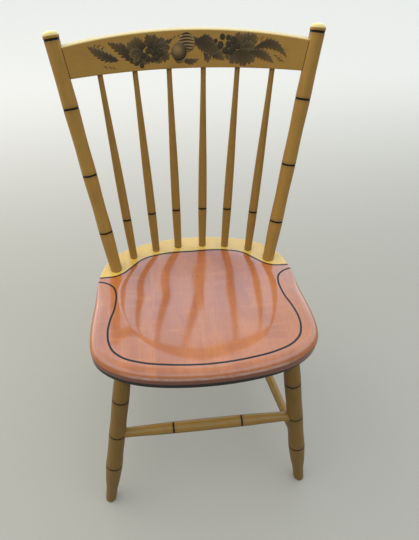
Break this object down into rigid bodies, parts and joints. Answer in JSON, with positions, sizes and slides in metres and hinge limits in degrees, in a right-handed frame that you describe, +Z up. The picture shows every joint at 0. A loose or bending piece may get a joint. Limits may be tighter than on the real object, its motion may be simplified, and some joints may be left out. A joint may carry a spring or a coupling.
{
  "type": "side chair",
  "caption": "Painted side chair with a carved plank seat, splayed turned legs and stretchers, leaning turned posts, slender spindles and a bowed crest rail.",
  "frame": {"origin": "on the floor, in the middle of the chair's outer box", "axes": "+Z up, +Y to the back of the chair, +X to the right as seen from the front"},
  "size_m": [0.4826, 0.4894, 0.8532],
  "materials": {
    "seat_wood": "reddish brown stained maple under a glossy clear varnish",
    "gold_paint": "old gold paint under varnish, black rings in the scored grooves",
    "rail_paint": "old gold paint under varnish, with a bronze and black fruit-and-leaf stencil",
    "brass_brad": "small darkened brads"
  },
  "bodies": {
    "root": {"seat_board_1": "seat_wood", "seat_board_2": "seat_wood", "seat_board_3": "seat_wood", "seat_board_4": "seat_wood", "leg_front_left": "gold_paint", "leg_front_right": "gold_paint", "leg_rear_left": "gold_paint", "leg_rear_right": "gold_paint", "stretcher_front": "gold_paint", "stretcher_rear": "gold_paint", "stretcher_left": "gold_paint", "stretcher_right": "gold_paint", "post_left": "gold_paint", "post_right": "gold_paint", "crest_rail": "rail_paint", "spindle_1": "gold_paint", "spindle_2": "gold_paint", "spindle_3": "gold_paint", "spindle_4": "gold_paint", "spindle_5": "gold_paint", "spindle_6": "gold_paint", "crest_pins": "brass_brad"}
  },
  "joints": []
}
